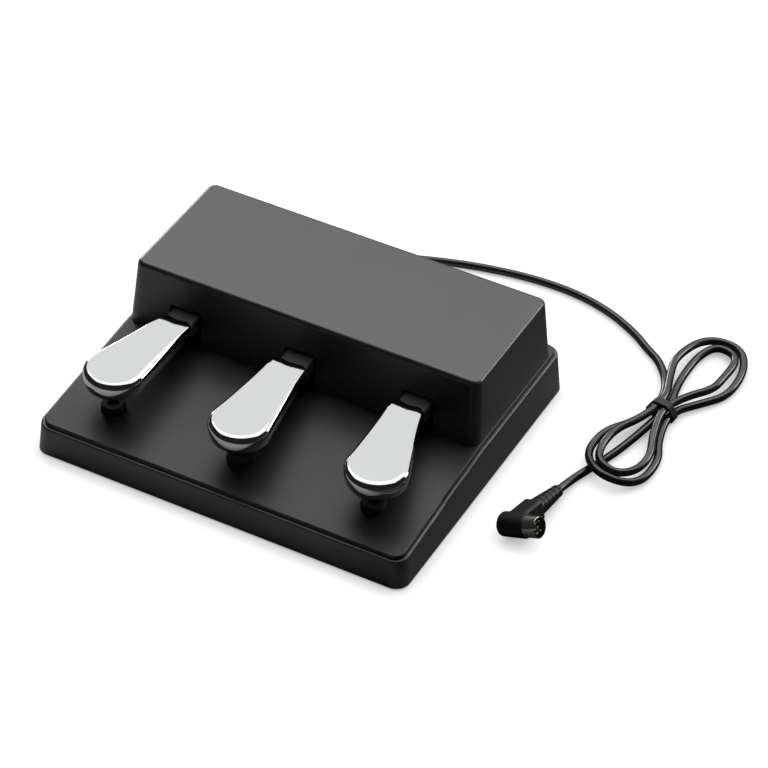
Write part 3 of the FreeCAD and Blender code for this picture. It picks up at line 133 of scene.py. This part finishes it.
room = bpy.data.worlds.new("room")
room.use_nodes = True
room_nodes = room.node_tree.nodes
room_nodes["Background"].inputs["Color"].default_value = (1.0, 1.0, 1.0, 1.0)
room_path = room_nodes.new("ShaderNodeLightPath")
room_level = room_nodes.new("ShaderNodeMapRange")
room_level.inputs["To Min"].default_value = 0.02
room_level.inputs["To Max"].default_value = 1.0
room.node_tree.links.new(room_path.outputs["Is Camera Ray"], room_level.inputs["Value"])
room.node_tree.links.new(room_level.outputs["Result"], room_nodes["Background"].inputs["Strength"])
bpy.context.scene.world = room


# Cord
# A round black lead of 5 mm with a smooth, slightly glossy jacket. It leaves the rear of the
# base, lies along the floor, is wound into a hank and ends in the plug.
def surface(name, colour, roughness, metallic=0.0):
    """A new material with its main shader set, and the piece's own coordinates."""
    material = bpy.data.materials.new(name)
    material.use_nodes = True
    shader = material.node_tree.nodes["Principled BSDF"]
    shader.inputs["Base Color"].default_value = (*colour, 1.0)
    shader.inputs["Roughness"].default_value = roughness
    shader.inputs["Metallic"].default_value = metallic
    place = material.node_tree.nodes.new("ShaderNodeTexCoord").outputs["Object"]
    return material, shader, place


def noise(material, place, scale, detail=2.0):
    """Cloudy noise over a piece, as a number from 0 to 1."""
    texture = material.node_tree.nodes.new("ShaderNodeTexNoise")
    texture.inputs["Scale"].default_value = scale
    texture.inputs["Detail"].default_value = detail
    material.node_tree.links.new(place, texture.inputs["Vector"])
    return texture.outputs["Fac"]


def spread(material, value, low, high, start=0.3, end=0.7):
    """A number that runs from low to high as a pattern goes from start to end."""
    ramp = material.node_tree.nodes.new("ShaderNodeMapRange")
    ramp.inputs["From Min"].default_value = start
    ramp.inputs["From Max"].default_value = end
    ramp.inputs["To Min"].default_value = low
    ramp.inputs["To Max"].default_value = high
    material.node_tree.links.new(value, ramp.inputs["Value"])
    return ramp.outputs["Result"]


def two_colours(material, value, low, high):
    """A colour between two, as a pattern goes from 0.3 to 0.7."""
    mix = material.node_tree.nodes.new("ShaderNodeMix")
    mix.data_type = "RGBA"
    mix.inputs["A"].default_value = (*low, 1.0)
    mix.inputs["B"].default_value = (*high, 1.0)
    material.node_tree.links.new(spread(material, value, 0.0, 1.0), mix.inputs["Factor"])
    return mix.outputs["Result"]


def grain(material, shader, height, depth, strength):
    """A raised pattern of the given depth in metres."""
    bump = material.node_tree.nodes.new("ShaderNodeBump")
    bump.inputs["Distance"].default_value = depth
    bump.inputs["Strength"].default_value = strength
    material.node_tree.links.new(height, bump.inputs["Height"])
    material.node_tree.links.new(bump.outputs["Normal"], shader.inputs["Normal"])


jacket, jacket_shader, jacket_place = surface("cord_jacket", (0.010, 0.010, 0.011), 0.24)
jacket_clouds = noise(jacket, jacket_place, 60.0)
jacket.node_tree.links.new(spread(jacket, jacket_clouds, 0.20, 0.29), jacket_shader.inputs["Roughness"])
jacket_tint = two_colours(jacket, jacket_clouds, (0.008, 0.008, 0.009), (0.013, 0.013, 0.014))
jacket.node_tree.links.new(jacket_tint, jacket_shader.inputs["Base Color"])
jacket_shader.inputs["Specular IOR Level"].default_value = 0.9
grain(jacket, jacket_shader, noise(jacket, jacket_place, 900.0), 0.00004, 0.35)

hank_turn = math.radians(6.5)
hank_middle = (189.3, 108.3)


def hank_place(across, along, level):
    """A point in metres, given in millimetres across and along the hank's own axis."""
    x = hank_middle[0] + across * math.cos(hank_turn) + along * math.sin(hank_turn)
    y = hank_middle[1] - across * math.sin(hank_turn) + along * math.cos(hank_turn)
    return Vector((x, y, level)) * 0.001


floor_run = [
    (-40, 122.33, 14), (-40, 136.33, 14), (-34, 152.33, 7), (-18, 164.5, 3), (4, 173.8, 2.5),
    (30, 181.5, 2.5), (61, 187, 2.5), (92, 187.5, 2.5), (120, 181, 2.5), (143, 169.5, 2.5),
]
route = [Vector(point) * 0.001 for point in floor_run]
route.append(hank_place(-38.5, 47, 2.5))

# The outer turn of the hank: left side, front end, right side and rear end, drawn in at the waist
outer_turn = [
    (-26.5, 41.5, 2.5), (-11, 25, 2.6), (-4.6, 3, 3.9), (-9, -19, 4.6), (-18, -39, 7.3),
    (-15.5, -63.5, 7.2), (4.2, -77.4, 10.6), (22.5, -65, 3.4), (21.5, -38.5, 2.5), (11, -22.5, 3.4),
    (3.9, 2.5, 4), (15.5, 22, 3.3), (24.5, 38.5, 2.5), (21, 65, 3.2), (8.5, 81, 4.2),
    (-13.5, 75, 5.5), (-18, 45.5, 8.3),
]
# The inner turn, whose first two strands lie over the outer one at the waist
inner_turn = [
    (-11.5, 28, 7.8), (-1.6, 7, 8.9), (-4.6, -17, 8.8), (-11, -36, 10.6), (-10.2, -54.5, 10.5),
    (-4.5, -66.5, 10), (9.5, -68.5, 8.6), (16.6, -56, 5.8), (16.4, -40, 5.8), (9, -26, 7.5),
    (1.1, -3, 9.1), (7, 18, 7.7), (15.7, 34.5, 6), (15.3, 48, 5.8), (14, 65, 5.1),
    (7.5, 73.3, 4.4), (-5, 73, 3.9), (-9.4, 60, 3), (-8.6, 44, 2.5), (-6, 29, 2.9),
    (0, 11, 3.9), (0.4, -12.5, 4),
]
route.extend(hank_place(*point) for point in outer_turn + inner_turn)
tail = [(180.5, 63, 2.7), (172, 40, 2.5), (167.2, 25.9, 2.7), (165.5, 13.1, 4.4)]
route.extend(Vector(point) * 0.001 for point in tail)

cord_curve = bpy.data.curves.new("cord", "CURVE")
cord_curve.dimensions = "3D"
cord_curve.bevel_depth = 0.0025
cord_curve.bevel_resolution = 7
cord_curve.use_fill_caps = True
cord_line = cord_curve.splines.new("NURBS")
cord_line.points.add(len(route) - 1)
for point, place in zip(cord_line.points, route):
    point.co = (*place, 1.0)
cord_line.order_u = 3
cord_line.use_endpoint_u = True
cord_line.resolution_u = 12
cord_curve.materials.append(jacket)
cord = bpy.data.objects.new("cord", cord_curve)
bpy.context.scene.collection.objects.link(cord)
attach(cord, "base")
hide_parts("cord_run", "cord_hank", "cord_tail")


# Base and housing
# Two mouldings in one black plastic: the low tray that stands on the floor, and the tall cover.
# Their faces have the fine even grain of a spark-eroded mould.
moulding, moulding_shader, moulding_place = surface("black_moulding", (0.05, 0.05, 0.052), 0.34)
moulding_shader.inputs["Specular IOR Level"].default_value = 1.0
moulding_clouds = noise(moulding, moulding_place, 18.0, 4.0)
moulding.node_tree.links.new(
    spread(moulding, moulding_clouds, 0.32, 0.36), moulding_shader.inputs["Roughness"]
)
moulding_tint = two_colours(moulding, moulding_clouds, (0.047, 0.047, 0.049), (0.053, 0.053, 0.055))
moulding.node_tree.links.new(moulding_tint, moulding_shader.inputs["Base Color"])
grain(moulding, moulding_shader, noise(moulding, moulding_place, 1400.0), 0.0001, 0.2)


def finish_nodes(material, *names):
    """Gives CAD nodes their finish."""
    for name in names:
        mesh = nodes[name].data
        mesh.materials.clear()
        mesh.materials.append(material)


finish_nodes(moulding, "base_tray", "housing")

# Deck panel
# The sloping top of the base, in the same black plastic with a duller, finer grain. Its colour and
# specular level are set lower than the cover's, as painted shade, so that it looks darker than the
# cover.
deck, deck_shader, deck_place = surface("black_deck_painted_shade", (0.04, 0.04, 0.041), 0.42)
deck_shader.inputs["Specular IOR Level"].default_value = 0.55
deck_clouds = noise(deck, deck_place, 22.0, 4.0)
deck.node_tree.links.new(spread(deck, deck_clouds, 0.40, 0.44), deck_shader.inputs["Roughness"])
# Painted shade: the deck's colour sits below the cover's. Its cloudy change is random tone.
deck_tone_and_painted_shade = two_colours(deck, deck_clouds, (0.037, 0.037, 0.038), (0.043, 0.043, 0.044))
deck.node_tree.links.new(deck_tone_and_painted_shade, deck_shader.inputs["Base Color"])
grain(deck, deck_shader, noise(deck, deck_place, 1800.0), 0.00008, 0.35)
finish_nodes(deck, "deck_panel")

# Pedal heads
# Cast heads, ground, polished and bright chrome plated: a slightly crowned top with a round edge,
# a skirt that draws in below, and a hollow underside with the stub that meets the stopper.
chrome, chrome_shader, chrome_place = surface("bright_chrome", (0.60, 0.605, 0.61), 0.05, 1.0)
chrome_haze = noise(chrome, chrome_place, 45.0, 5.0)
chrome.node_tree.links.new(spread(chrome, chrome_haze, 0.035, 0.07), chrome_shader.inputs["Roughness"])

sides = ("left", "centre", "right")

# Places and sizes of the heads in millimetres
Head = namedtuple("Head", "nose_x nose_y nose_radius left right rear arm_x stub_y")
heads = {
    "left": Head(-88.1, -70.0, 19.5, -89.6, -68.6, -13.5, -79.4, -73.5),
    "centre": Head(0.0, -74.3, 19.3, -11.4, 11.4, -14.3, 0.0, -76.0),
    "right": Head(88.1, -70.0, 19.5, 68.6, 89.6, -13.5, 79.4, -73.5),
}
corner_radius = 4.5
rear_bow = 1.0
edge_radius = 3.8
edge_level = 52.0
bottom_level = 45.0
hollow_level = 52.8
hollow_inset = 2.9
rear_edge_share = 0.08
crown = 0.12
crown_rear_gap = 9.0
notch_half_width = 8.1
notch_reach = 12.0
stub_radius = 6.0
stub_height = 7.8
stub_level = 48.9

# How many points the outline has round the nose, along each side, round each rear corner and
# along the rear
nose_steps = 48
side_steps = 12
corner_steps = 8
bow_steps = 10

# Rows of the hollow and the skirt: how far each is drawn in, and its level
skirt_rows = [
    (hollow_inset, hollow_level), (hollow_inset, bottom_level), (1.2, bottom_level), (0.99, 45.09),
    (0.86, 45.3), (0.0, 50.4), (0.0, edge_level),
]


def turned(middle, radius, angle):
    """The point on a circle at an angle in degrees."""
    way = math.radians(angle)
    return Vector((middle[0] + radius * math.cos(way), middle[1] + radius * math.sin(way)))


def head_outline(head, inset):
    """A head's outline drawn in by an inset, with how far back each point belongs, from 0 to 1."""
    nose = (head.nose_x, head.nose_y)
    points = []
    corners = []
    for x, sign in ((head.right - corner_radius, 1), (head.left + corner_radius, -1)):
        corner = Vector((x, head.rear - corner_radius))
        span = corner - Vector(nose)
        lean = math.degrees(math.asin((head.nose_radius - corner_radius) / span.length))
        out = math.degrees(math.atan2(span.y, span.x)) - sign * (90.0 - lean)
        corners.append((corner, out))
    (right_corner, right_out), (left_corner, left_out) = corners
    half = (right_corner.x - left_corner.x) / 2
    reach = (half * half - rear_bow * rear_bow) / (2 * rear_bow)
    bow_lean = math.degrees(math.atan2(half, reach))
    bow_middle = ((head.left + head.right) / 2, right_corner.y + reach)
    for step in range(nose_steps + 1):
        angle = left_out - 360.0 + (360.0 - left_out + right_out) * step / nose_steps
        points.append((turned(nose, head.nose_radius - inset, angle), 0.0))
    start = points[-1][0]
    end = turned(right_corner, corner_radius - inset, right_out)
    shares = [step / side_steps for step in range(1, side_steps)]
    points.extend((start.lerp(end, share), share) for share in shares)
    for step in range(corner_steps + 1):
        angle = right_out + (90.0 + bow_lean - right_out) * step / corner_steps
        points.append((turned(right_corner, corner_radius - inset, angle), 1.0))
    bow_radius = reach - corner_radius + rear_bow + inset
    for step in range(1, bow_steps):
        angle = -90.0 + bow_lean - 2 * bow_lean * step / bow_steps
        points.append((turned(bow_middle, bow_radius, angle), 1.0))
    for step in range(corner_steps + 1):
        angle = 90.0 - bow_lean + (left_out - 90.0 + bow_lean) * step / corner_steps
        points.append((turned(left_corner, corner_radius - inset, angle), 1.0))
    start = points[-1][0]
    end = points[0][0]
    points.extend((start.lerp(end, share), 1.0 - share) for share in shares)
    return points


def head_rings(head):
    """Closed rows of points from the ceiling of the hollow, round its wall and up over the top."""
    rings = [[(*point, level) for point, _ in head_outline(head, inset)] for inset, level in skirt_rows]
    front = Vector((head.nose_x, head.nose_y))
    rear = Vector(((head.left + head.right) / 2, head.rear - crown_rear_gap))

    def rounded(inset):
        """A row of the round edge, which is tighter along the rear than along the nose and sides."""
        tight = head_outline(head, inset * rear_edge_share)
        return [
            (point.lerp(tight_point, back * back), back)
            for (point, back), (tight_point, _) in zip(head_outline(head, inset), tight)
        ]

    for angle in (12.15, 20, 28, 36, 44, 52, 60, 68, 76, 84, 90):
        way = math.radians(angle)
        level = edge_level + edge_radius * math.sin(way)
        rings.append([(*point, level) for point, back in rounded(edge_radius * (1 - math.cos(way)))])
    for share in (0.1, 0.25, 0.45, 0.7, 1.0):
        level = edge_level + edge_radius + crown * (1 - (1 - share) ** 2)
        rings.append([
            (*point.lerp(front.lerp(rear, back), share), level) for point, back in rounded(edge_radius)
        ])
    return rings


# Where the arm passes, the faces at the rear are left out up to the top of the skirt. That is the
# notch, and its ceiling and its two ends are closed.
for side in sides:
    head = heads[side]
    shape = bmesh.new()
    rings = [[shape.verts.new(Vector(place) * 0.001) for place in ring] for ring in head_rings(head)]
    inner = rings[0]
    above_notch = rings[len(skirt_rows)]
    count = len(inner)
    open_columns = []
    for index in range(count):
        pair = (inner[index].co * 1000, inner[(index + 1) % count].co * 1000)
        at_rear = min(place.y for place in pair) > head.rear - notch_reach
        by_arm = max(abs(place.x - head.arm_x) for place in pair) < notch_half_width
        open_columns.append(at_rear and by_arm)
    for row, (lower, upper) in enumerate(zip(rings, rings[1:])):
        for index in range(count):
            following = (index + 1) % count
            if row < len(skirt_rows) and open_columns[index]:
                continue
            shape.faces.new((lower[index], lower[following], upper[following], upper[index]))
    for index in range(count):
        following = (index + 1) % count
        if open_columns[index]:
            shape.faces.new((inner[index], inner[following], above_notch[following], above_notch[index]))
        if open_columns[index] != open_columns[index - 1]:
            shape.faces.new([ring[index] for ring in rings[:len(skirt_rows) + 1]])
    shape.faces.new(inner)
    bmesh.ops.create_cone(
        shape, cap_ends=True, segments=48,
        radius1=stub_radius * 0.001, radius2=stub_radius * 0.001, depth=stub_height * 0.001,
        matrix=Matrix.Translation(Vector((head.nose_x, head.stub_y, stub_level)) * 0.001),
    )
    bmesh.ops.remove_doubles(shape, verts=shape.verts, dist=0.00001)
    bmesh.ops.recalc_face_normals(shape, faces=shape.faces)
    for face in shape.faces:
        face.smooth = True
    mesh = bpy.data.meshes.new("chrome_head_" + side)
    shape.to_mesh(mesh)
    shape.free()
    mesh.set_sharp_from_angle(angle=math.radians(35.0))
    mesh.materials.append(chrome)
    piece = bpy.data.objects.new("chrome_head_" + side, mesh)
    bpy.context.scene.collection.objects.link(piece)
    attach(piece, "pedal_" + side)
    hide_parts("pedal_head_" + side)

# Pedal arms
# Pressed steel under a black satin powder coat, with its faint orange peel. Its colour is set to a
# very dark grey instead, as painted light on the arm's top, which lies in the housing's shade.
# Painted light: the grey colour stands in for the light the housing keeps off the arm's top.
coat, coat_shader, coat_place = surface("powder_coat_painted_light", (0.14, 0.14, 0.143), 0.5)
coat_peel = noise(coat, coat_place, 700.0, 1.0)
grain(coat, coat_shader, coat_peel, 0.00012, 0.3)
coat_clouds = noise(coat, coat_place, 40.0)
coat.node_tree.links.new(spread(coat, coat_clouds, 0.38, 0.46), coat_shader.inputs["Roughness"])
finish_nodes(coat, *("pedal_arm_" + side for side in sides))

# Stoppers and feet
# Soft black rubber, moulded, with the dull bloom that such rubber has.
rubber, rubber_shader, rubber_place = surface("black_rubber", (0.02, 0.02, 0.02), 0.72)
rubber_bloom = noise(rubber, rubber_place, 120.0, 4.0)
rubber_tint = two_colours(rubber, rubber_bloom, (0.016, 0.016, 0.016), (0.03, 0.03, 0.029))
rubber.node_tree.links.new(rubber_tint, rubber_shader.inputs["Base Color"])
rubber.node_tree.links.new(spread(rubber, rubber_bloom, 0.66, 0.8), rubber_shader.inputs["Roughness"])
finish_nodes(rubber, "deck_stoppers", "rubber_feet")

# Ballast plate, chassis, stop rail and shaft
# Zinc plated steel: bright and slightly blue, with the cloudy spangle of the plating.
zinc, zinc_shader, zinc_place = surface("zinc_plating", (0.6, 0.62, 0.64), 0.38, 1.0)
zinc_spangle = noise(zinc, zinc_place, 90.0, 6.0)
zinc_tint = two_colours(zinc, zinc_spangle, (0.5, 0.52, 0.55), (0.68, 0.69, 0.7))
zinc.node_tree.links.new(zinc_tint, zinc_shader.inputs["Base Color"])
zinc.node_tree.links.new(spread(zinc, zinc_spangle, 0.3, 0.48), zinc_shader.inputs["Roughness"])
finish_nodes(
    zinc, "base_plate", "pedal_chassis", "stop_rail", "pivot_shaft", "shaft_clips", "board_screws",
    "housing_screws", "chassis_screws", "deck_screws", "plate_screws",
    *("head_screws_" + side for side in sides),
)

# Return springs
# Hardened spring wire with a thin film of oil.
wire, wire_shader, wire_place = surface("spring_wire", (0.36, 0.36, 0.38), 0.28, 1.0)
wire_film = noise(wire, wire_place, 300.0, 3.0)
wire.node_tree.links.new(spread(wire, wire_film, 0.22, 0.36), wire_shader.inputs["Roughness"])
finish_nodes(wire, *("return_spring_" + side for side in sides))

# Bushes
# Flanged bearings in natural white plastic, pressed into the arms.
bearing, bearing_shader, bearing_place = surface("natural_plastic", (0.72, 0.70, 0.64), 0.45)
bearing_clouds = noise(bearing, bearing_place, 200.0)
bearing_tint = two_colours(bearing, bearing_clouds, (0.70, 0.68, 0.61), (0.75, 0.73, 0.67))
bearing.node_tree.links.new(bearing_tint, bearing_shader.inputs["Base Color"])
finish_nodes(bearing, *("pivot_bushes_" + side for side in sides))

# Rest felts
# Pads of pressed dark wool felt, with short loose fibres.
felt, felt_shader, felt_place = surface("pressed_felt", (0.03, 0.03, 0.03), 0.95)
felt_shader.inputs["Sheen Weight"].default_value = 0.3
felt_fibres = noise(felt, felt_place, 1800.0, 4.0)
felt_tint = two_colours(felt, felt_fibres, (0.015, 0.015, 0.015), (0.05, 0.05, 0.05))
felt.node_tree.links.new(felt_tint, felt_shader.inputs["Base Color"])
grain(felt, felt_shader, felt_fibres, 0.0003, 0.6)
finish_nodes(felt, "rest_felts")

# Circuit board
# A glass-fibre board under green lacquer, with its copper tracks just showing through.
board, board_shader, board_place = surface("green_board", (0.03, 0.16, 0.07), 0.3)
board_tracks = board.node_tree.nodes.new("ShaderNodeTexBrick")
board_tracks.inputs["Scale"].default_value = 160.0
board_tracks.inputs["Mortar Size"].default_value = 0.03
board_tracks.inputs["Color1"].default_value = (0.02, 0.12, 0.05, 1.0)
board_tracks.inputs["Color2"].default_value = (0.024, 0.14, 0.06, 1.0)
board_tracks.inputs["Mortar"].default_value = (0.06, 0.24, 0.1, 1.0)
board.node_tree.links.new(board_place, board_tracks.inputs["Vector"])
board.node_tree.links.new(board_tracks.outputs["Color"], board_shader.inputs["Base Color"])
finish_nodes(board, "sensor_board")

# Small black mouldings
# Light sensors, socket, flag blades, gland, tie and the plug's insert, body and bend relief, in
# plain black plastic. The lead inside the base has the cord's own jacket.
black, black_shader, black_place = surface("black_plastic", (0.02, 0.02, 0.021), 0.42)
black_clouds = noise(black, black_place, 80.0, 3.0)
black.node_tree.links.new(spread(black, black_clouds, 0.36, 0.48), black_shader.inputs["Roughness"])
grain(black, black_shader, noise(black, black_place, 1500.0), 0.00006, 0.4)
finish_nodes(
    black, "light_sensors", "board_connector", "plug_insert", "plug_body", "plug_relief", "cord_gland",
    "hank_tie", *("sensor_flag_" + side for side in sides),
)
finish_nodes(jacket, "inner_lead")

# Plug shell
# Drawn steel, nickel plated, which looks a little warm beside the chrome.
nickel, nickel_shader, nickel_place = surface("nickel_plating", (0.78, 0.75, 0.70), 0.2, 1.0)
nickel_haze = noise(nickel, nickel_place, 260.0, 4.0)
nickel.node_tree.links.new(spread(nickel, nickel_haze, 0.16, 0.25), nickel_shader.inputs["Roughness"])
finish_nodes(nickel, "plug_shell")

# Plug pins
# Turned brass pins with a thin gold plating.
gold, gold_shader, gold_place = surface("gold_plating", (0.95, 0.88, 0.72), 0.3, 1.0)
gold_haze = noise(gold, gold_place, 600.0, 2.0)
gold.node_tree.links.new(spread(gold, gold_haze, 0.26, 0.34), gold_shader.inputs["Roughness"])
finish_nodes(gold, "plug_pins")
